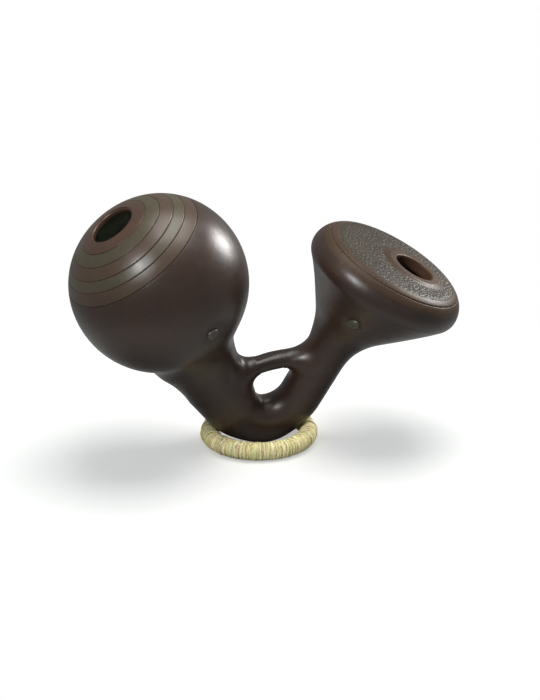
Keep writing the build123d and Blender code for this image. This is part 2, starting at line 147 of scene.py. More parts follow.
# Clay pads: turn from the front, height along the axis, reach of the dent, length, width and roll.
BALL_PAD_TURN = math.radians(20.1)
BALL_PAD_ALONG = -37.8
BALL_PAD_REACH = 10.0
BALL_PAD_SIZE = (14.0, 12.5, 0.5)
HORN_PAD_TURN = math.radians(-27.5)
HORN_PAD_ALONG = -41.8
HORN_PAD_REACH = 11.0
HORN_PAD_SIZE = (18.0, 12.0, 0.65)
PAD_DENT = 1.1
PAD_DENT_POWER = 4
PAD_HIGH = 1.35
PAD_HIGH_POWER = 6
PAD_ROOT = 1.5
PAD_EDGE = 0.99
PAD_HOLLOW = 0.35
PAD_HOLLOW_TO = 0.55
PAD_RIPPLE = 0.07
PAD_RIPPLES = 4
PAD_RIPPLE_TWIST = 6
PAD_LIFT = 0.15
PAD_ROWS = 20
PAD_COLUMNS = 64
# Size, number and phase of the waves in a pad's edge.
PAD_WOBBLE = ((0.035, 3, 0.7), (0.025, 5, 2.1))

# How the clay skin is made.
VOXEL = 2.2
TUBE_COLUMNS = 48
BALL_ROWS = 26
NECK_ROWS = 10
HEEL_ROWS = 24
HORN_ROWS = 60
BRIDGE_ROWS = 16
POLE_GAP = 0.03
HEAD_GAP = 0.2
PROBE = 0.05
LEAST_SLOPE = 0.2
LONGEST_STEP = 4
FIRST_ROUNDS = 6
SMOOTH_ROUNDS = 4
SMOOTH_SHARE = 0.5
LATER_ROUNDS = 2
CUT_REACH = 140
CUT_DIST = 1e-5
RUB = 2.0

# Ring: hoop, binding, crossing strands and knot. Angles are radians, pairs are ranges of random draws.
RING_CENTRE = np.array([-3.95, 31.12, 0.0])
RING_R = 55.2
RING_Z = 9.68
FLAT_FOOT = 0.9
STRAND_FOOT = 0.02
STRAND_SECTION = ((-1.0, 0.0), (-0.6, 0.9), (0.6, 0.9), (1.0, 0.0), (0.6, -0.7), (-0.6, -0.7))
PHASES = (0, 6)
WRAP_TURNS = 310
WRAP_POINTS = 23
WRAP_START = 1.9
WRAP_WANDER = 0.3
WRAP_SKEW = 0.8
WRAP_R = 9.6
WRAP_ROUGH = (-0.22, 0.3)
WRAP_WAVE = 0.12
WRAP_TONES = (0.86, 1.08)
WRAP_WIDTHS = (1.35, 1.9)
WRAP_THICK = 0.75
CROSSINGS = 70
CROSS_POINTS = 20
CROSS_ROLLS = (-1.2, 1.6)
CROSS_SWEEPS = (1.2, 2.8)
CROSS_TURNS = (-0.22, 0.22)
CROSS_R = 10.1
CROSS_ARCH = 0.25
CROSS_TUCK = 0.9
CROSS_TUCK_FROM = 0.88
CROSS_TONES = (0.8, 1.12)
CROSS_WIDTHS = (0.6, 1.1)
CORE_R = 9.1
CORE_WAVE = 0.25
CORE_ROLL_WAVES = 9
CORE_TURN_WAVES = 40
CORE_ROWS = 160
CORE_COLUMNS = 20
KNOT_TURN = math.radians(20.0)
KNOT_ROLL = math.radians(48)
KNOT_R = 10.4
KNOT_DEEP = 6
KNOT_TONES = (0.85, 1.1)
KNOT_THICK = 0.7
KNOT_POINTS = 26
KNOT_SHIFTS = (-2.4, -0.9, 0.7, 2.2)
KNOT_LEANS = (-0.5, 0.5)
KNOT_ACROSS = 3.6
KNOT_MIDDLE = 1.0
KNOT_UP = 2.7
KNOT_WIDTH = 1.6
# Sideways share, rise and size of each loop.
LOOPS = ((1.0, 0.5, 7.0), (-1.0, 0.8, 6.0), (0.3, 1.0, 5.0))
LOOP_ROOT = 2.6
LOOP_RISE = 0.7
LOOP_ACROSS = 2.2
LOOP_WIDTH = 1.2
# Sideways share, bend and length of each tail.
TAILS = ((1.0, 0.6, 8.0), (-0.6, -0.7, 7.0), (0.2, 0.9, 9.0), (0.8, -0.4, 6.5))
TAIL_ROOT = 2.4
TAIL_RISE = 0.55
TAIL_ALONG = 0.6
TAIL_WIDTH = 0.95
TAIL_POINTS = 24

# Stage, in metres. Softboxes: direction as the camera sees it, distance, size, watts, colour, lights floor.
TARGET = Vector((0.01075, 0.0412, 0.10215))
CAMERA = Vector((-0.33675, -1.6982, 0.78305))
SENSOR = 36
LENS = 88.2
FAR_CLIP = 20
SOFTBOXES = {
    "softbox_right": ((0.71, 0.56, -0.27), 1.6, 0.5, 25, (1, 0.985, 0.97), False),
    "softbox_left": ((-0.38, 0.36, 0.83), 1.7, 0.3, 15, (1, 0.99, 0.99), False),
    "softbox_above": ((0.12, 0.93, 0.34), 1.5, 1.0, 17, (1, 0.99, 0.95), True),
}
WHITE = (1, 1, 1, 1)
SURROUNDINGS = (0.255, 0.278, 0.28, 1)
FLOOR_HALF = 3.0
FLOOR_TONE = 0.75
FLOOR_TONE_SEEN = 0.95
FLOOR_GLOW_SEEN = 0.41
FLOOR_FADE_FROM = 0.3
FLOOR_FADE_TO = 0.55
NOISE_ROUGH = 0.55


def linear(r, g, b):
    """Scene colour of an sRGB colour given in 0 to 255."""
    c = np.array([r, g, b]) / 255
    return np.where(c <= 0.04045, c / 12.92, ((c + 0.055) / 1.055) ** 2.4)


CLAY_DARK = linear(52, 37, 30)
CLAY_RED = linear(68, 49, 38)
CLAY_BROWN = linear(66, 51, 40)
CLAY_GREY = linear(66, 59, 45)
# Inside walls: partly the raw clay's own paler colour and partly painted fill light that lifts the shaded
# hollows.
CLAY_INSIDE_AND_PAINTED_FILL = linear(165, 170, 152)
STIPPLE_TONE = linear(54, 47, 40)
PAD_TONE = linear(72, 66, 57)
CORE_TONE = linear(205, 192, 136)
STRAW = (
    linear(236, 226, 176),
    linear(226, 212, 160),
    linear(240, 230, 186),
    linear(214, 212, 148),
    linear(226, 204, 160),
    linear(232, 222, 164),
)


def axis_of(tilt):
    """Upward and sideways unit vectors of an axis tilted from Z towards +X."""
    t = math.radians(tilt)
    return np.array([math.sin(t), 0, math.cos(t)]), np.array([math.cos(t), 0, -math.sin(t)])


def smooth(x):
    """Soft step from 0 to 1."""
    u = np.clip(x, 0, 1)
    return u * u * (3 - 2 * u)


def circle(columns):
    """Evenly spaced angles round a full turn."""
    return np.linspace(0, FULL_TURN, columns, endpoint=False)


def to_row(points):
    """Drum-plane millimetres to metres in the shared frame."""
    p = np.asarray(points, float)
    c, s = math.cos(LEAN), math.sin(LEAN)
    y = p[:, 1] * c - p[:, 2] * s
    z = p[:, 1] * s + p[:, 2] * c
    return (np.stack([p[:, 0], y, z], 1) + SEAT) * MM


def in_axis(points, centre, tilt):
    """Sideways, depth and upward distances of points from the centre of a tilted axis."""
    up, side = axis_of(tilt)
    q = points - centre
    return q @ side, q[:, 1], q @ up


# Ball neck: the arc beside the neck, and where it leaves the ball.
NECK_CR = BALL_NECK_R + BALL_SWEEP
NECK_CZ = -math.sqrt((BALL_R + BALL_SWEEP) ** 2 - NECK_CR**2)
NECK_TOP = BALL_R * math.sin(math.atan2(NECK_CZ, NECK_CR))

# Horn outline: rounded underside, cone and the neck's arc.
SHOULDER_C = HORN_R - SHOULDER
UNDER_C = HORN_R - UNDERSIDE
CONE_TOP_R = UNDER_C + UNDERSIDE * math.cos(FLARE)
CONE_TOP_Z = -UNDERSIDE * math.sin(FLARE)
SWEEP_C = HORN_NECK_R + HORN_SWEEP
CONE_LOW_R = SWEEP_C - HORN_SWEEP * math.cos(FLARE)
CONE_LOW_Z = CONE_TOP_Z - (CONE_TOP_R - CONE_LOW_R) / math.tan(FLARE)
HORN_END = CONE_LOW_Z - HORN_SWEEP * math.sin(FLARE)

# Heel: an arc that touches both neck axes, with its lowest point on the plane's zero height.
BALL_UP, BALL_SIDE = axis_of(BALL_TILT)
HORN_UP, HORN_SIDE = axis_of(HORN_TILT)
BALL_NECK = BALL + BALL_SIDE * BALL_DRIFT
HORN_NECK = HORN - HORN_SIDE * HORN_DRIFT
SPREAD = math.radians(HORN_TILT - BALL_TILT)
GAP = HORN_NECK - BALL_NECK
BALL_REACH = (GAP[0] * HORN_UP[2] - GAP[2] * HORN_UP[0]) / math.sin(SPREAD)
HORN_REACH = (GAP[0] * BALL_UP[2] - GAP[2] * BALL_UP[0]) / math.sin(SPREAD)
MEET = BALL_NECK - BALL_UP * BALL_REACH
BISECT, _ = axis_of((HORN_TILT + BALL_TILT) / 2)
BEND = -MEET[2] / (BISECT[2] / math.sin(SPREAD / 2) - 1)
BEND_C = MEET + BISECT * BEND / math.sin(SPREAD / 2)
BALL_END = BEND / math.tan(SPREAD / 2) - BALL_REACH
HORN_FOOT = BEND / math.tan(SPREAD / 2) - HORN_REACH


def cap_radius(angle):
    """The ball is a little flatter round its mouth. The angle is in degrees from the mouth axis."""
    return BALL_R - FLATTEN * np.clip(1 - angle / FLATTEN_TO, 0, 1) ** 2


def ball_field(p):
    """Signed distance to the ball and its neck, roughly."""
    x, y, s = in_axis(p, BALL, BALL_TILT)
    x = x - BALL_DRIFT * smooth((NECK_TOP - s) / BALL_DRIFT_DEPTH)
    r = np.hypot(x, y)
    up, _ = axis_of(MOUTH_TILT)
    q = p - BALL
    length = np.linalg.norm(q, axis=1) + TINY
    angle = np.degrees(np.arccos(np.clip(q @ up / length, -1, 1)))
    sphere = np.hypot(r, s) - cap_radius(angle)
    sweep = BALL_SWEEP - np.hypot(r - NECK_CR, s - NECK_CZ)
    lower = np.clip((NECK_CZ - s) / (NECK_CZ - BALL_END), 0, 1)
    pipe = BALL_NECK_R + (HEEL_TOP_R - BALL_NECK_R) * lower
    low = np.where((s > NECK_CZ) & (r < NECK_CR), sweep, r - pipe)
    low = np.maximum(low, BALL_END - s)
    return np.where(s * NECK_CR > r * NECK_CZ, sphere, low)


def horn_field(p):
    """Signed distance to the funnel, its rim and its neck, roughly."""
    x, y, s = in_axis(p, HORN, HORN_TILT)
    x = x + HORN_DRIFT * smooth((CONE_TOP_Z - s) / HORN_DRIFT_DEPTH)
    r = np.hypot(x, y)
    top = np.where(r > SHOULDER_C, np.hypot(r - SHOULDER_C, s) - SHOULDER, s - SHOULDER)
    turn = np.arctan2(-s, r - UNDER_C)
    under = np.hypot(r - UNDER_C, s) - UNDERSIDE
    cone = (r - CONE_TOP_R + (CONE_TOP_Z - s) * math.tan(FLARE)) * math.cos(FLARE)
    rise = np.clip(s - HORN_END, 0, None)
    sweep = HORN_SWEEP - np.hypot(r - SWEEP_C, rise)
    side = np.where((turn < FLARE) & (r > UNDER_C), under, cone)
    low = np.where(np.arctan2(rise, SWEEP_C - r) < FLARE, sweep, side)
    low = np.maximum(low, HORN_FOOT - s)
    return np.where(s > 0, top, low)


def heel_radius(turn):
    """Tube radius round the bend, from the ball's side (negative) to the horn's side."""
    left = HEEL_TOP_R + (HEEL_R - HEEL_TOP_R) * smooth(1 - turn / HEEL_FROM)
    right = HEEL_R + (HORN_NECK_R - HEEL_R) * smooth(turn / HEEL_TO)
    return np.where(turn < 0, left, right)


def heel_field(p):
    """Signed distance to the bent tube, which is fuller at its lower front."""
    dx, dz = p[:, 0] - BEND_C[0], p[:, 2] - BEND_C[2]
    turn = np.clip(np.arctan2(dx, -dz), HEEL_FROM, HEEL_TO)
    cx = BEND_C[0] + BEND * np.sin(turn)
    cz = BEND_C[2] - BEND * np.cos(turn)
    away = np.stack([p[:, 0] - cx, p[:, 1], p[:, 2] - cz], 1)
    length = np.linalg.norm(away, axis=1)
    facing = np.clip(away @ HEEL_FULL / np.maximum(length, TINY), 0, 1)
    middle = smooth(1 - np.abs(turn) / HEEL_FULL_TURN)
    return length - heel_radius(turn) - HEEL_FULLER * middle * facing**HEEL_FULL_POWER


def bridge_line(x):
    """Height of the strap's middle: a parabola through its three points."""
    (xa, za), (xb, zb), (xc, zc) = BRIDGE
    la = (x - xb) * (x - xc) / ((xa - xb) * (xa - xc))
    lb = (x - xa) * (x - xc) / ((xb - xa) * (xb - xc))
    lc = (x - xa) * (x - xb) / ((xc - xa) * (xc - xb))
    return za * la + zb * lb + zc * lc


def bridge_field(p):
    """Signed distance to the strap over the finger hole, roughly."""
    x = np.clip(p[:, 0], BRIDGE[0][0], BRIDGE[2][0])
    slope = bridge_line(x + 0.5) - bridge_line(x - 0.5)
    across = (p[:, 2] - bridge_line(x)) / np.sqrt(1 + slope**2)
    thick, deep = BRIDGE_THICK / 2, BRIDGE_DEEP / 2
    oval = (np.sqrt((across / thick) ** 2 + (p[:, 1] / deep) ** 2) - 1) * thick
    return np.maximum(oval, np.abs(p[:, 0] - x))


def blend_min(a, b, k):
    """Lesser of two fields, rounded where they meet."""
    h = np.clip(1 - np.abs(a - b) / k, 0, None)
    return np.minimum(a, b) - h * h * k / 4


def clay_field(p):
    """Signed distance to the whole vessel, roughly."""
    body = np.minimum(np.minimum(ball_field(p), heel_field(p)), horn_field(p))
    return blend_min(body, bridge_field(p), BRIDGE_BLEND)


def slope_of(field, p, probe):
    """Change of a field across each point, along the three axes."""
    return np.stack([field(p + probe * e) - field(p - probe * e) for e in np.eye(3)], 1)


def project(p, rounds):
    """Moves points onto the clay surface."""
    for _ in range(rounds):
        f = clay_field(p)
        g = slope_of(clay_field, p, PROBE) / (2 * PROBE)
        square = np.maximum((g * g).sum(1), LEAST_SLOPE)
        move = g * (f / square)[:, None]
        size = np.linalg.norm(move, axis=1)
        p = p - move * np.minimum(1, LONGEST_STEP / np.maximum(size, TINY))[:, None]
    return p


def horn_axis(s):
    """Point on the funnel's axis, which drifts sideways below the cone's top."""
    shift = HORN_DRIFT * float(smooth((CONE_TOP_Z - s) / HORN_DRIFT_DEPTH))
    return HORN + HORN_UP * s - HORN_SIDE * shift


def pad_way(side, turn):
    """Direction out from an axis, turned sideways from the front."""
    return side * math.sin(turn) + FRONT * math.cos(turn)


def ball_pad():
    """Place, outward direction and reach of the pad on the ball."""
    out = pad_way(BALL_SIDE, BALL_PAD_TURN)
    place = BALL + BALL_UP * BALL_PAD_ALONG + out * math.sqrt(BALL_R**2 - BALL_PAD_ALONG**2)
    return place, (place - BALL) / BALL_R, BALL_PAD_REACH


def horn_pad():
    """Place, outward direction and reach of the pad on the funnel."""
    out = pad_way(HORN_SIDE, HORN_PAD_TURN)
    radius = CONE_TOP_R - (CONE_TOP_Z - HORN_PAD_ALONG) * math.tan(FLARE)
    place = horn_axis(HORN_PAD_ALONG) + out * radius
    normal = out * math.cos(FLARE) - HORN_UP * math.sin(FLARE)
    return place, normal, HORN_PAD_REACH


PADS = (ball_pad(), horn_pad())


def pad_dent(p, centre, size):
    """Depth of the shallow dent that a pad is pressed into."""
    away = np.linalg.norm(p - centre, axis=1)
    return PAD_DENT * np.exp(-((away / size) ** PAD_DENT_POWER))


def dented(p):
    """The clay's field with the dents of the pads, whose slope gives the rubbed surface its facing."""
    return clay_field(p) + sum(pad_dent(p, centre, size) for centre, _, size in PADS)


def new_mesh(name, verts, faces, smooth_faces=True):
    """Adds a mesh object to the scene."""
    mesh = bpy.data.meshes.new(name)
    mesh.from_pydata(np.asarray(verts).tolist(), [], faces)
    mesh.update()
    obj = bpy.data.objects.new(name, mesh)
    bpy.context.scene.collection.objects.link(obj)
    if smooth_faces:
        mesh.polygons.foreach_set("use_smooth", [True] * len(mesh.polygons))
    return obj


def points_of(mesh):
    """A mesh's points as rows."""
    p = np.empty(len(mesh.vertices) * 3)
    mesh.vertices.foreach_get("co", p)
    return p.reshape(-1, 3)


def paint(obj, colours):
    """Stores a colour for each point of a mesh, read by its material."""
    layer = obj.data.color_attributes.new("tint", "FLOAT_COLOR", "POINT")
    rgba = np.ones((len(colours), 4))
    rgba[:, :3] = colours
    layer.data.foreach_set("color", rgba.ravel())


def grid_faces(rows, columns):
    """Quads of a grid whose columns run round."""
    faces = []
    for i in range(rows - 1):
        low, high = i * columns, (i + 1) * columns
        for j in range(columns):
            k = (j + 1) % columns
            faces.append((low + j, low + k, high + k, high + j))
    return faces


def tube(stations):
    """Closed tube through ovals given by centre, two axes and two radii."""
    turn = circle(TUBE_COLUMNS)
    verts = []
    for centre, a, b, ra, rb in stations:
        verts.append(centre + ra * np.cos(turn)[:, None] * a + rb * np.sin(turn)[:, None] * b)
    rows = len(stations)
    faces = grid_faces(rows, TUBE_COLUMNS)
    faces.append(tuple(range(TUBE_COLUMNS))[::-1])
    faces.append(tuple(range((rows - 1) * TUBE_COLUMNS, rows * TUBE_COLUMNS)))
    return np.vstack(verts), faces


def ball_form():
    """Circles down the ball and its neck."""
    profile = []
    for angle in np.linspace(math.pi / 2 - POLE_GAP, math.atan2(NECK_CZ, NECK_CR), BALL_ROWS):
        profile.append((BALL_R * math.sin(angle), BALL_R * math.cos(angle)))
    for s in np.linspace(NECK_TOP, NECK_CZ, NECK_ROWS)[1:]:
        profile.append((s, NECK_CR - math.sqrt(BALL_SWEEP**2 - (s - NECK_CZ) ** 2)))
    stations = []
    for s, r in profile:
        shift = BALL_DRIFT * float(smooth((NECK_TOP - s) / BALL_DRIFT_DEPTH))
        stations.append((BALL + BALL_UP * s + BALL_SIDE * shift, BALL_SIDE, Y_AXIS, r, r))
    stations.append((BALL_NECK + BALL_UP * BALL_END, BALL_SIDE, Y_AXIS, HEEL_TOP_R, HEEL_TOP_R))
    return stations


def heel_form():
    """Circles round the bend and up into the funnel's neck."""
    stations = []
    for turn in np.linspace(HEEL_FROM, HEEL_TO, HEEL_ROWS):
        out = np.array([math.sin(turn), 0, -math.cos(turn)])
        r = float(heel_radius(turn))
        stations.append((BEND_C + out * BEND, out, Y_AXIS, r, r))
    stations.append((HORN_NECK + HORN_UP * HORN_END, HORN_SIDE, Y_AXIS, HORN_NECK_R, HORN_NECK_R))
    return stations


def horn_form():
    """Circles down the funnel from its shoulder to its foot."""
    stations = []
    for s in np.linspace(SHOULDER - HEAD_GAP, HORN_FOOT, HORN_ROWS):
        if s > 0:
            r = SHOULDER_C + math.sqrt(SHOULDER**2 - s**2)
        elif s > CONE_TOP_Z:
            r = UNDER_C + math.sqrt(UNDERSIDE**2 - s**2)
        elif s > CONE_LOW_Z:
            r = CONE_TOP_R - (CONE_TOP_Z - s) * math.tan(FLARE)
        else:
            r = SWEEP_C - math.sqrt(HORN_SWEEP**2 - max(s - HORN_END, 0) ** 2)
        stations.append((horn_axis(s), HORN_SIDE, Y_AXIS, r, r))
    return stations


def bridge_form():
    """Ovals along the strap."""
    stations = []
    for x in np.linspace(BRIDGE[0][0], BRIDGE[2][0], BRIDGE_ROWS):
        centre = np.array([x, 0, bridge_line(x)])
        stations.append((centre, Z_AXIS, Y_AXIS, BRIDGE_THICK / 2, BRIDGE_DEEP / 2))
    return stations


def rough_clay():
    """Simple overlapping forms, remeshed into one, that give the clay skin its first faces."""
    verts, faces = [], []
    for stations in (ball_form(), heel_form(), horn_form(), bridge_form()):
        v, f = tube(stations)
        base = sum(len(a) for a in verts)
        verts.append(v)
        faces += [tuple(i + base for i in face) for face in f]
    rough = new_mesh("clay_rough", np.vstack(verts) * MM, faces)
    remesh = rough.modifiers.new("Remesh", "REMESH")
    remesh.mode = "VOXEL"
    remesh.voxel_size = VOXEL * MM
    shown = rough.evaluated_get(bpy.context.evaluated_depsgraph_get())
    mesh = bpy.data.meshes.new_from_object(shown)
    bpy.data.objects.remove(rough)
    return mesh


def settled(mesh):
    """The mesh's points in millimetres, evened out on the clay surface and pressed in at the pads."""
    p = points_of(mesh) / MM
    edges = np.empty(len(mesh.edges) * 2, int)
    mesh.edges.foreach_get("vertices", edges)
    edges = edges.reshape(-1, 2)
    degree = np.bincount(edges.ravel(), minlength=len(p))[:, None]
    p = project(p, FIRST_ROUNDS)
    for _ in range(SMOOTH_ROUNDS):
        total = np.zeros_like(p)
        np.add.at(total, edges[:, 0], p[edges[:, 1]])
        np.add.at(total, edges[:, 1], p[edges[:, 0]])
        p = project(p + SMOOTH_SHARE * (total / degree - p), LATER_ROUNDS)
    for centre, normal, size in PADS:
        p -= normal * pad_dent(p, centre, size)[:, None]
    return p


def beside(verts, x):
    """Whether all of these points lie near a place along X."""
    return all(abs(v.co.x - x) < CUT_REACH for v in verts)


def cut_openings(mesh):
    """Cuts the skin away where the bands and the head begin."""
    work = bmesh.new()
    work.from_mesh(mesh)
    mouth_up, _ = axis_of(MOUTH_TILT)
    start = BANDS[-1] + BAND_MARGIN
    reach = float(cap_radius(start))
    seam = math.radians(SEAM_ANGLE - SEAM_MARGIN)
    cuts = (
        (BALL + mouth_up * reach * math.cos(math.radians(start)), mouth_up),
        (HORN + HORN_UP * SHOULDER * math.sin(seam), HORN_UP),
    )
    for place, normal in cuts:
        geom = [v for v in work.verts if beside([v], place[0])]
        geom += [e for e in work.edges if beside(e.verts, place[0])]
        geom += [f for f in work.faces if beside(f.verts, place[0])]
        bmesh.ops.bisect_plane(
            work,
            geom=geom,
            plane_co=Vector(place),
            plane_no=Vector(normal),
            clear_outer=True,
            dist=CUT_DIST,
        )
    work.to_mesh(mesh)
    work.free()


def clay_skin():
    """One unbroken skin over ball, heel, bridge and funnel, cut where the bands and the head begin."""
    mesh = rough_clay()
    mesh.vertices.foreach_set("co", settled(mesh).ravel())
    mesh.update()
    cut_openings(mesh)
    p = points_of(mesh)
    mesh.vertices.foreach_set("co", to_row(p).ravel())
    mesh.polygons.foreach_set("use_smooth", [True] * len(mesh.polygons))
    mesh.update()
    facing = to_row(p + slope_of(dented, p, RUB)) - to_row(p)
    facing /= np.linalg.norm(facing, axis=1)[:, None]
    mesh.normals_split_custom_set_from_vertices(facing.tolist())
    obj = bpy.data.objects.new("clay_skin", mesh)
    bpy.context.scene.collection.objects.link(obj)
    paint(obj, np.tile(CLAY_DARK, (len(p), 1)))
    return obj


def band_shade(angles):
    """Colour of the burnished bands by angle from the mouth axis."""
    edges = (0.0,) + BANDS + (90.0,)
    tones = (CLAY_RED, CLAY_GREY, CLAY_BROWN, CLAY_GREY, CLAY_BROWN, CLAY_DARK)
    out = np.zeros((len(angles), 3))
    for low, high, tone in zip(edges, edges[1:], tones):
        inside = (angles >= low) & (angles < high)
        out[inside] = tone
    return out


def cap_angles(rim, start):
    """Angles of the cap's circles from its edge to the mouth, close together at the incised lines."""
    angles = set(np.round(np.arange(rim + RIM_STEP, start, CAP_STEP), ANGLE_DIGITS))
    for band in BANDS:
        last = band + GROOVE_REACH + ANGLE_SLACK
        angles |= set(np.round(np.arange(band - GROOVE_REACH, last, GROOVE_STEP), ANGLE_DIGITS))
    angles = np.array(sorted(a for a in angles if rim < a <= start), float)[::-1]
    angles[0] = start
    return angles


def polar(radius, turn):
    """Distance from an axis and height along it, by angle from that axis."""
    return np.stack([radius * np.sin(turn), radius * np.cos(turn)], 1)


def cap_profile():
    """Outline of the cap, over its lip and down the inside, with a colour for each circle; the inside is
    pale partly as raw clay and partly as painted fill light.
    """
    start = BANDS[-1] + BAND_MARGIN
    lip_r = MOUTH_R + MOUTH_ROUND
    rim = math.degrees(math.asin(lip_r / BALL_R))
    angles = cap_angles(rim, start)
    deep = sum(GROOVE_DEEP * np.exp(-(((angles - band) / GROOVE_WIDE) ** 2)) for band in BANDS)
    deep = deep * smooth((start - angles) / EDGE_FADE)
    profile = [polar(cap_radius(angles) - deep, np.radians(angles))]
    shades = [band_shade(angles)]
    outer = float(cap_radius(rim))
    lip_z = math.sqrt((outer - MOUTH_ROUND) ** 2 - lip_r**2)
    low_z = math.sqrt((outer - WALL + MOUTH_ROUND) ** 2 - lip_r**2)
    for height, first, last in ((lip_z, 90 - rim, 180), (low_z, 180, 270 - rim)):
        a = np.radians(np.linspace(first, last, LIP_ROWS))
        profile.append(np.stack([lip_r + MOUTH_ROUND * np.cos(a), height + MOUTH_ROUND * np.sin(a)], 1))
        shades.append(np.tile(CLAY_RED, (LIP_ROWS, 1)))
    inner = np.radians(np.linspace(rim + INNER_FROM, INNER_TO, INNER_ROWS))
    radius = BALL_R - WALL - INNER_DIP * np.clip(1 - inner / INNER_DIP_TO, 0, 1)
    profile.append(polar(radius, inner))
    # The wall inside: raw clay colour, lifted further by painted fill light.
    shades.append(np.tile(CLAY_INSIDE_AND_PAINTED_FILL, (INNER_ROWS, 1)))
    return np.vstack(profile), np.vstack(shades)


def ball_bands():
    """The banded cap: incised lines, rounded mouth, and the wall inside."""
    profile, shades = cap_profile()
    turn = circle(CAP_COLUMNS)
    up, side = axis_of(MOUTH_TILT)
    ring = np.cos(turn)[:, None] * side + np.sin(turn)[:, None] * Y_AXIS
    verts = BALL + profile[:, 0][:, None, None] * ring[None] + profile[:, 1][:, None, None] * up
    obj = new_mesh("ball_bands", to_row(verts.reshape(-1, 3)), grid_faces(len(profile), CAP_COLUMNS))
    paint(obj, np.repeat(shades, CAP_COLUMNS, 0))
    return obj


def head_height(r):
    """Height of the head's skin over its widest circle, by distance from its axis."""
    centre = -math.sqrt((CROWN - SHOULDER) ** 2 - SHOULDER_C**2)
    touch = SHOULDER_C * CROWN / (CROWN - SHOULDER)
    crown = centre + np.sqrt(CROWN**2 - np.minimum(r, touch) ** 2)
    edge = np.sqrt(np.maximum(SHOULDER**2 - np.clip(r - SHOULDER_C, 0, SHOULDER) ** 2, 0))
    return np.where(r < touch, crown, edge)


def cell_bumps(x, y):
    """Rounded bumps on a jittered grid, from 0 in the valleys to 1 on the tops."""
    u, v = x / BUMP_SIZE, y / BUMP_SIZE
    iu, iv = np.floor(u).astype(int), np.floor(v).astype(int)
    table = np.random.default_rng(BUMP_SEED).random((BUMP_CELLS, BUMP_CELLS, 3))
    near = np.full(len(x), np.inf)
    high = np.zeros(len(x))
    for du in (-1, 0, 1):
        for dv in (-1, 0, 1):
            cell = table[(iu + du) % BUMP_CELLS, (iv + dv) % BUMP_CELLS]
            px = iu + du + 0.5 + BUMP_JITTER * (cell[:, 0] - 0.5)
            py = iv + dv + 0.5 + BUMP_JITTER * (cell[:, 1] - 0.5)
            d = np.hypot(u - px, v - py)
            closer = d < near
            near = np.where(closer, d, near)
            high = np.where(closer, BUMP_LEAST + BUMP_SPREAD * cell[:, 2], high)
    return high * np.clip(1 - (near / BUMP_REACH) ** 2, 0, 1)


def head_top(flat, hole):
    """Points and colours of the head's upper side over flat points, with a painted sheen that makes the
    bump tops lighter.
    """
    r = np.hypot(flat[:, 0], flat[:, 1])
    near = np.hypot(flat[:, 0] - hole[0], flat[:, 1] - hole[1])
    collar = smooth((COLLAR_R - near) / COLLAR_SLOPE)
    off_collar = 1 - smooth((COLLAR_R + STIPPLE_EDGE - near) / STIPPLE_EDGE)
    stipple = smooth((STIPPLE_R - r) / STIPPLE_EDGE) * off_collar
    bumps = cell_bumps(flat[:, 0], flat[:, 1])
    height = head_height(r) + COLLAR_HIGH * collar + stipple * (BUMP_HIGH * bumps - STIPPLE_SUNK)
    arc = np.degrees(np.arctan2(height, r - SHOULDER_C))
    groove = RIM_GROOVE_DEEP * np.exp(-(((arc - RIM_GROOVE) / RIM_GROOVE_WIDE) ** 2)) * (r > SHOULDER_C)
    inward = np.stack([np.cos(np.radians(arc)), np.sin(np.radians(arc))], 1) * groove[:, None]
    scale = (r - inward[:, 0]) / r
    points = np.column_stack([flat * scale[:, None], height - inward[:, 1]])
    shades = np.tile(CLAY_BROWN, (len(flat), 1))
    shades = shades + stipple[:, None] * (STIPPLE_TONE - CLAY_BROWN)
    # Painted sheen: the higher bump tops get a lighter colour, standing in for glints of light.
    tops = (stipple * np.clip(bumps - BUMP_SHEEN_FROM, 0, 1))[:, None]
    return points, shades * (1 + BUMP_PAINTED_SHEEN * tops)


def horn_head():
    """Stippled head with a smooth rim, a fine groove, and a collared hole to one side."""
    turn = circle(HEAD_COLUMNS)
    ring = np.stack([np.cos(turn), np.sin(turn)], 1)
    hole = np.array([HOLE_OFFSET, -HOLE_FORWARD])
    seam_r = SHOULDER_C + SHOULDER * math.cos(math.radians(SEAM_ANGLE - SEAM_MARGIN))
    round_r = HOLE_R + MOUTH_ROUND
    share = np.unique(np.concatenate([np.linspace(*stretch) for stretch in HEAD_STRETCHES]))
    circles = [ring * (round_r + (seam_r - round_r) * u) + hole * (1 - u) for u in share[::-1]]
    points, shades = head_top(np.vstack(circles), hole)
    verts, colours = [points], [shades]
    red = np.tile(CLAY_RED, (HEAD_COLUMNS, 1))
    top = head_height(np.linalg.norm(hole + round_r * ring, axis=1)) + COLLAR_HIGH
    for angle in np.radians(np.linspace(90, 180, HOLE_LIP_ROWS)[1:]):
        radius = round_r + MOUTH_ROUND * math.cos(angle)
        level = top - MOUTH_ROUND * (1 - math.sin(angle))
        verts.append(np.column_stack([ring * radius + hole, level]))
        colours.append(red)
    for drop, wider in HOLE_WALL:
        verts.append(np.column_stack([ring * (HOLE_R + wider) + hole, top - drop]))
        colours.append(red)
    # The head's inside: raw clay colour, lifted further by painted fill light.
    for drop, radius in HEAD_INSIDE:
        verts.append(np.column_stack([ring * radius + hole * INSIDE_SHIFT, top - drop]))
        colours.append(np.tile(CLAY_INSIDE_AND_PAINTED_FILL, (HEAD_COLUMNS, 1)))
    local = np.vstack(verts)
    p = HORN + local[:, :1] * HORN_SIDE + local[:, 1:2] * Y_AXIS + local[:, 2:] * HORN_UP
    obj = new_mesh("horn_top", to_row(p), grid_faces(len(local) // HEAD_COLUMNS, HEAD_COLUMNS))
    paint(obj, np.vstack(colours))
    return obj


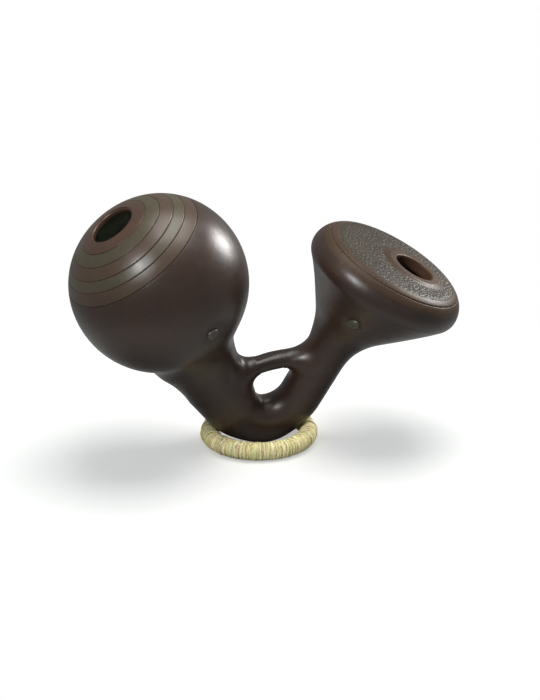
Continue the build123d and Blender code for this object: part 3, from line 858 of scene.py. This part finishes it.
def pad(name, place, normal, size):
    """A bare pressed button of clay with a soft, slightly uneven edge."""
    length, width, roll = size
    normal = normal / np.linalg.norm(normal)
    side = np.cross(Z_AXIS, normal)
    side /= np.linalg.norm(side)
    up = np.cross(normal, side)
    c, s = math.cos(roll), math.sin(roll)
    long, wide = side * c + up * s, up * c - side * s
    angle = circle(PAD_COLUMNS)
    wobble = np.ones(PAD_COLUMNS)
    for depth, waves, phase in PAD_WOBBLE:
        wobble = wobble + depth * np.sin(waves * angle + phase)
    verts = []
    for i in range(PAD_ROWS):
        u = 1 - i / PAD_ROWS
        level = PAD_HIGH * (1 - u**PAD_HIGH_POWER) - PAD_ROOT * (u > PAD_EDGE)
        level = level - PAD_HOLLOW * math.exp(-((u / PAD_HOLLOW_TO) ** 2))
        level = level + PAD_RIPPLE * np.sin(PAD_RIPPLES * angle + PAD_RIPPLE_TWIST * u)
        x = np.cos(angle) * wobble * u * length / 2
        y = np.sin(angle) * wobble * u * width / 2
        flat = place + x[:, None] * long + y[:, None] * wide
        verts.append(flat + (level + PAD_LIFT)[:, None] * normal)
    faces = grid_faces(PAD_ROWS, PAD_COLUMNS)
    faces.append(tuple(range((PAD_ROWS - 1) * PAD_COLUMNS, PAD_ROWS * PAD_COLUMNS)))
    obj = new_mesh(name, to_row(np.vstack(verts)), faces)
    paint(obj, np.tile(PAD_TONE, (PAD_ROWS * PAD_COLUMNS, 1)))
    return obj


def strand_tint(tones):
    """One of the straw colours, made a little darker or lighter."""
    return STRAW[RNG.integers(len(STRAW))] * RNG.uniform(*tones)


def strand_mesh(name, paths, widths, thick, tints):
    """Ribbon strands along paths: each point has an outward direction that the ribbon lies flat on."""
    verts, faces, colours = [], [], []
    base = 0
    sides = len(STRAND_SECTION)
    for (points, outs), tint, wide in zip(paths, tints, widths):
        ahead = np.gradient(points, axis=0)
        ahead /= np.linalg.norm(ahead, axis=1)[:, None]
        across = np.cross(ahead, outs)
        across /= np.linalg.norm(across, axis=1)[:, None]
        for sx, sy in STRAND_SECTION:
            verts.append(points + across * (sx * wide / 2) + outs * (sy * thick / 2))
        count = len(points)
        for k in range(sides):
            a, b = base + k * count, base + ((k + 1) % sides) * count
            faces += [(a + i, a + i + 1, b + i + 1, b + i) for i in range(count - 1)]
        colours.append(np.tile(tint, (sides * count, 1)))
        base += sides * count
    p = np.vstack(verts)
    p[:, 2] = np.maximum(p[:, 2], STRAND_FOOT)
    obj = new_mesh(name, p * MM, faces)
    paint(obj, np.vstack(colours))
    return obj


def hoop(turn, roll, radius):
    """Points and outward directions on the hoop's binding, which is flat where it stands."""
    out = np.stack([np.cos(turn), np.sin(turn), 0 * turn], 1)
    direction = out * np.cos(roll)[:, None] + Z_AXIS * np.sin(roll)[:, None]
    middle = RING_CENTRE + np.array([0, 0, RING_Z]) + out * RING_R
    points = middle + direction * np.asarray(radius)[..., None]
    points[:, 2] = np.maximum(points[:, 2], FLAT_FOOT)
    return points, direction


def raffia():
    """Binding wound round and round the hoop, one strand per turn, with some crossing over."""
    paths, tints, widths = [], [], []
    step = FULL_TURN / WRAP_TURNS
    t = np.linspace(0, 1, WRAP_POINTS)
    roll = FULL_TURN * t - WRAP_START
    for i in range(WRAP_TURNS):
        wander = RNG.normal(0, WRAP_WANDER) * step
        skew = RNG.normal(0, WRAP_SKEW) * step
        turn = (i + t) * step + wander + skew * np.sin(roll + RNG.uniform(*PHASES))
        radius = WRAP_R + RNG.uniform(*WRAP_ROUGH) + WRAP_WAVE * np.sin(2 * roll + RNG.uniform(*PHASES))
        paths.append(hoop(turn, roll, radius))
        tints.append(strand_tint(WRAP_TONES))
        widths.append(RNG.uniform(*WRAP_WIDTHS))
    t = np.linspace(0, 1, CROSS_POINTS)
    tucked = np.abs(2 * t - 1) > CROSS_TUCK_FROM
    radius = CROSS_R + CROSS_ARCH * np.sin(math.pi * t) - CROSS_TUCK * tucked
    for _ in range(CROSSINGS):
        start = RNG.uniform(0, FULL_TURN)
        roll = RNG.uniform(*CROSS_ROLLS) + t * RNG.uniform(*CROSS_SWEEPS)
        turn = start + t * RNG.uniform(*CROSS_TURNS)
        paths.append(hoop(turn, roll, radius))
        tints.append(strand_tint(CROSS_TONES))
        widths.append(RNG.uniform(*CROSS_WIDTHS))
    return strand_mesh("raffia_binding", paths, widths, WRAP_THICK, tints)


def straw_core():
    """The hoop under the binding, seen only between strands."""
    turn = np.repeat(circle(CORE_ROWS), CORE_COLUMNS)
    roll = np.tile(circle(CORE_COLUMNS), CORE_ROWS)
    wave = CORE_WAVE * np.sin(CORE_ROLL_WAVES * roll + CORE_TURN_WAVES * turn)
    points, _ = hoop(turn, roll, CORE_R + wave)
    faces = grid_faces(CORE_ROWS, CORE_COLUMNS)
    last = (CORE_ROWS - 1) * CORE_COLUMNS
    for j in range(CORE_COLUMNS):
        k = (j + 1) % CORE_COLUMNS
        faces.append((last + j, last + k, k, j))
    obj = new_mesh("straw_hoop", points * MM, faces)
    paint(obj, np.tile(CORE_TONE, (len(points), 1)))
    return obj


def raffia_knot():
    """Knot on the right of the ring: tight wraps, three small loops and short tails."""
    middle, out = hoop(np.array([KNOT_TURN]), np.array([KNOT_ROLL]), np.array([KNOT_R]))
    middle, out = middle[0], out[0]
    ahead = np.array([-math.sin(KNOT_TURN), math.cos(KNOT_TURN), 0])
    cross = np.cross(ahead, out)
    paths, tints, widths = [], [], []

    def add(along, over, up, width):
        """Adds a strand by its distances from the knot's middle."""
        points = middle + ahead * along + cross * over + out * up
        outs = points - (middle - out * KNOT_DEEP)
        outs /= np.linalg.norm(outs, axis=1)[:, None]
        paths.append((points, outs))
        tints.append(strand_tint(KNOT_TONES))
        widths.append(width)

    t = np.linspace(0, FULL_TURN, KNOT_POINTS)[:, None]
    for shift in KNOT_SHIFTS:
        lean = RNG.uniform(*KNOT_LEANS)
        up = KNOT_MIDDLE + KNOT_UP * np.sin(t)
        add(shift + lean * np.sin(t), KNOT_ACROSS * np.cos(t), up, KNOT_WIDTH)
    t = np.linspace(0, 1, TAIL_POINTS)[:, None]
    for way, rise, size in LOOPS:
        turn = FULL_TURN * t
        reach = size * (1 - np.cos(turn)) / 2
        add(way * reach, LOOP_ACROSS * np.sin(turn), LOOP_ROOT + reach * rise * LOOP_RISE, LOOP_WIDTH)
    for way, bend, length in TAILS:
        along = way * length * TAIL_ALONG * t
        add(along, bend * length * t**2, TAIL_ROOT + TAIL_RISE * length * t, TAIL_WIDTH)
    return strand_mesh("raffia_knot", paths, widths, KNOT_THICK, tints)


def node(tree, kind, **values):
    """Adds a shader node and sets its input sockets by name."""
    made = tree.nodes.new(kind)
    for key, value in values.items():
        made.inputs[key.replace("_", " ")].default_value = value
    return made


def material(name):
    """An empty node material and its tree."""
    made = bpy.data.materials.new(name)
    made.use_nodes = True
    made.node_tree.nodes.clear()
    return made, made.node_tree


def surface(tree, socket):
    """Makes a shader the material's surface."""
    out = tree.nodes.new("ShaderNodeOutputMaterial")
    tree.links.new(socket, out.inputs["Surface"])


def noise(tree, where, scale, detail):
    """Noise over the object, about 0.3 to 0.7."""
    made = node(tree, "ShaderNodeTexNoise", Scale=scale, Detail=detail, Roughness=NOISE_ROUGH)
    tree.links.new(where, made.inputs["Vector"])
    return made.outputs["Fac"]


def span(tree, value, low, high, start=0.0, end=1.0):
    """Maps one range of values to another."""
    made = node(tree, "ShaderNodeMapRange", From_Min=start, From_Max=end, To_Min=low, To_Max=high)
    tree.links.new(value, made.inputs["Value"])
    return made.outputs["Result"]


def mottle(tree, where, scale, detail, low, high, end=0.7):
    """Noise spread over a range of values."""
    return span(tree, noise(tree, where, scale, detail), low, high, 0.3, end)


def relief(tree, where, scale, detail, strength, distance):
    """Bump made by noise."""
    bump = node(tree, "ShaderNodeBump", Strength=strength, Distance=distance)
    tree.links.new(noise(tree, where, scale, detail), bump.inputs["Height"])
    return bump


def tinted(tree, factor):
    """The mesh's own colour times a factor."""
    tint = tree.nodes.new("ShaderNodeAttribute")
    tint.attribute_name = "tint"
    scale = tree.nodes.new("ShaderNodeVectorMath")
    scale.operation = "SCALE"
    tree.links.new(tint.outputs["Color"], scale.inputs[0])
    tree.links.new(factor, scale.inputs["Scale"])
    return scale.outputs["Vector"]


def multiply(tree, a, b):
    """Product of two values."""
    made = tree.nodes.new("ShaderNodeMath")
    made.operation = "MULTIPLY"
    tree.links.new(a, made.inputs[0])
    tree.links.new(b, made.inputs[1])
    return made.outputs["Value"]


def clay(name, rough_low, rough_high, grain, gloss):
    """Burnished fired clay: smoky mottling, fine speckle, satin sheen and a hand-rubbed surface."""
    made, tree = material(name)
    where = tree.nodes.new("ShaderNodeTexCoord").outputs["Object"]
    smoke = mottle(tree, where, scale=14.0, detail=4.0, low=0.78, high=1.24)
    fine = mottle(tree, where, scale=900.0, detail=2.0, low=0.8, high=1.3, end=0.75)
    rub = mottle(tree, where, scale=60.0, detail=5.0, low=rough_low, high=rough_high)
    shader = tree.nodes.new("ShaderNodeBsdfPrincipled")
    tree.links.new(tinted(tree, multiply(tree, smoke, fine)), shader.inputs["Base Color"])
    tree.links.new(rub, shader.inputs["Roughness"])
    shader.inputs["Specular IOR Level"].default_value = gloss
    bump = relief(tree, where, scale=1100.0, detail=3.0, strength=grain, distance=0.00025)
    broad = relief(tree, where, scale=55.0, detail=2.0, strength=0.25, distance=0.0008)
    tree.links.new(bump.outputs["Normal"], broad.inputs["Normal"])
    tree.links.new(broad.outputs["Normal"], shader.inputs["Normal"])
    surface(tree, shader.outputs["BSDF"])
    return made


def straw(name):
    """Dry plant fibre: streaked, matte with a faint sheen."""
    made, tree = material(name)
    where = tree.nodes.new("ShaderNodeTexCoord").outputs["Object"]
    streak = mottle(tree, where, scale=420.0, detail=4.0, low=0.85, high=1.15)
    stain = mottle(tree, where, scale=60.0, detail=3.0, low=0.85, high=1.1)
    shader = tree.nodes.new("ShaderNodeBsdfPrincipled")
    tree.links.new(tinted(tree, multiply(tree, streak, stain)), shader.inputs["Base Color"])
    shader.inputs["Roughness"].default_value = 0.62
    shader.inputs["Specular IOR Level"].default_value = 0.35
    bump = relief(tree, where, scale=900.0, detail=3.0, strength=0.5, distance=0.0004)
    tree.links.new(bump.outputs["Normal"], shader.inputs["Normal"])
    surface(tree, shader.outputs["BSDF"])
    return made


def build_drum():
    """Clay pieces, all on the drum's body."""
    burnished = clay("burnished_clay", rough_low=0.31, rough_high=0.39, grain=0.12, gloss=0.5)
    stippled = clay("stippled_clay", rough_low=0.36, rough_high=0.44, grain=0.3, gloss=0.14)
    skin = clay_skin()
    bands = ball_bands()
    top = horn_head()
    (ball_place, ball_out, _), (horn_place, horn_out, _) = PADS
    ball_button = pad("ball_pad", ball_place, ball_out, BALL_PAD_SIZE)
    horn_button = pad("horn_pad", horn_place, horn_out, HORN_PAD_SIZE)
    pieces = (
        (skin, burnished, "burnished_clay"),
        (bands, burnished, "burnished_clay"),
        (top, stippled, "stippled_clay"),
        (ball_button, burnished, "pad_clay"),
        (horn_button, burnished, "pad_clay"),
    )
    for obj, look, slot in pieces:
        obj.data.materials.append(look)
        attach(obj, "drum")
    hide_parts("ball_chamber", "heel_bend", "finger_bridge", "horn_chamber")
    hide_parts("horn_head")
    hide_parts("ball_seal")
    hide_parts("horn_seal")


def build_ring():
    """Fibre pieces, all on the ring stand's body."""
    fibre = straw("raffia")
    pieces = (
        (raffia(), "ring_wrap", "raffia"),
        (straw_core(), "ring_core", "straw"),
        (raffia_knot(), "ring_knot", "raffia"),
    )
    for obj, node_name, slot in pieces:
        obj.data.materials.append(fibre)
        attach(obj, "ring_stand")
        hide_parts(node_name)


def aim(obj, place, target):
    """Places an object so that it looks at a point."""
    obj.location = place
    obj.rotation_euler = (Vector(target) - Vector(place)).to_track_quat("-Z", "Y").to_euler()


def softbox(name, way, distance, size, power, colour):
    """Area light placed by its direction as the camera sees it."""
    back = (CAMERA - TARGET).normalized()
    across = Vector((0, 0, 1)).cross(back).normalized()
    top = back.cross(across)
    way = (across * way[0] + top * way[1] + back * way[2]).normalized()
    lamp = bpy.data.lights.new(name, "AREA")
    lamp.shape = "SQUARE"
    lamp.size = size
    lamp.energy = power
    lamp.color = colour
    obj = bpy.data.objects.new(name, lamp)
    bpy.context.scene.collection.objects.link(obj)
    aim(obj, TARGET + way * distance, TARGET)
    return obj


def floor_look():
    """White floor that the camera sees a little brighter, and that fades out away from the drum."""
    made, tree = material("floor_white")
    diffuse = tree.nodes.new("ShaderNodeBsdfDiffuse")
    glow = node(tree, "ShaderNodeEmission", Color=WHITE)
    seen = tree.nodes.new("ShaderNodeLightPath").outputs["Is Camera Ray"]
    tree.links.new(span(tree, seen, 0.0, FLOOR_GLOW_SEEN), glow.inputs["Strength"])
    tree.links.new(span(tree, seen, FLOOR_TONE, FLOOR_TONE_SEEN), diffuse.inputs["Color"])
    both = tree.nodes.new("ShaderNodeAddShader")
    tree.links.new(diffuse.outputs["BSDF"], both.inputs[0])
    tree.links.new(glow.outputs["Emission"], both.inputs[1])
    place = tree.nodes.new("ShaderNodeTexCoord").outputs["Object"]
    away = tree.nodes.new("ShaderNodeVectorMath")
    away.operation = "LENGTH"
    tree.links.new(place, away.inputs[0])
    fade = span(tree, away.outputs["Value"], 0.0, 1.0, FLOOR_FADE_FROM, FLOOR_FADE_TO)
    clear = tree.nodes.new("ShaderNodeBsdfTransparent")
    edge = tree.nodes.new("ShaderNodeMixShader")
    tree.links.new(fade, edge.inputs["Fac"])
    tree.links.new(both.outputs["Shader"], edge.inputs[1])
    tree.links.new(clear.outputs["BSDF"], edge.inputs[2])
    surface(tree, edge.outputs["Shader"])
    return made


def build_floor():
    """The floor under the drum."""
    h = FLOOR_HALF
    corners = [(-h, -h, 0), (h, -h, 0), (h, h, 0), (-h, h, 0)]
    floor = new_mesh("floor", corners, [(0, 1, 2, 3)], False)
    floor.data.materials.append(floor_look())
    return floor


def build_world():
    """Even light from all round, which the camera sees as white."""
    world = bpy.data.worlds.new("studio")
    world.use_nodes = True
    tree = world.node_tree
    tree.nodes.clear()
    path = tree.nodes.new("ShaderNodeLightPath")
    mix = tree.nodes.new("ShaderNodeMix")
    mix.data_type = "RGBA"
    tree.links.new(path.outputs["Is Camera Ray"], mix.inputs["Factor"])
    mix.inputs["A"].default_value = SURROUNDINGS
    mix.inputs["B"].default_value = WHITE
    ground = tree.nodes.new("ShaderNodeBackground")
    tree.links.new(mix.outputs["Result"], ground.inputs["Color"])
    out = tree.nodes.new("ShaderNodeOutputWorld")
    tree.links.new(ground.outputs["Background"], out.inputs["Surface"])
    bpy.context.scene.world = world


def build_lights(floor):
    """Soft lights. Those from the sides leave out the floor, so only the upper one shades it."""
    off_floor = bpy.data.collections.new("off_floor")
    off_floor.objects.link(floor)
    off_floor.collection_objects[0].light_linking.link_state = "EXCLUDE"
    for name, (way, distance, size, power, colour, on_floor) in SOFTBOXES.items():
        lamp = softbox(name, way, distance, size, power, colour)
        if not on_floor:
            lamp.light_linking.receiver_collection = off_floor


def build_camera():
    """The photograph's view."""
    lens = bpy.data.cameras.new("camera")
    lens.sensor_fit = "VERTICAL"
    lens.sensor_height = SENSOR
    lens.lens = LENS
    lens.clip_end = FAR_CLIP
    obj = bpy.data.objects.new("camera", lens)
    bpy.context.scene.collection.objects.link(obj)
    aim(obj, CAMERA, TARGET)
    bpy.context.scene.camera = obj


build_drum()
build_ring()
stage_floor = build_floor()
build_world()
build_lights(stage_floor)
build_camera()
bpy.context.scene.view_settings.view_transform = "Standard"
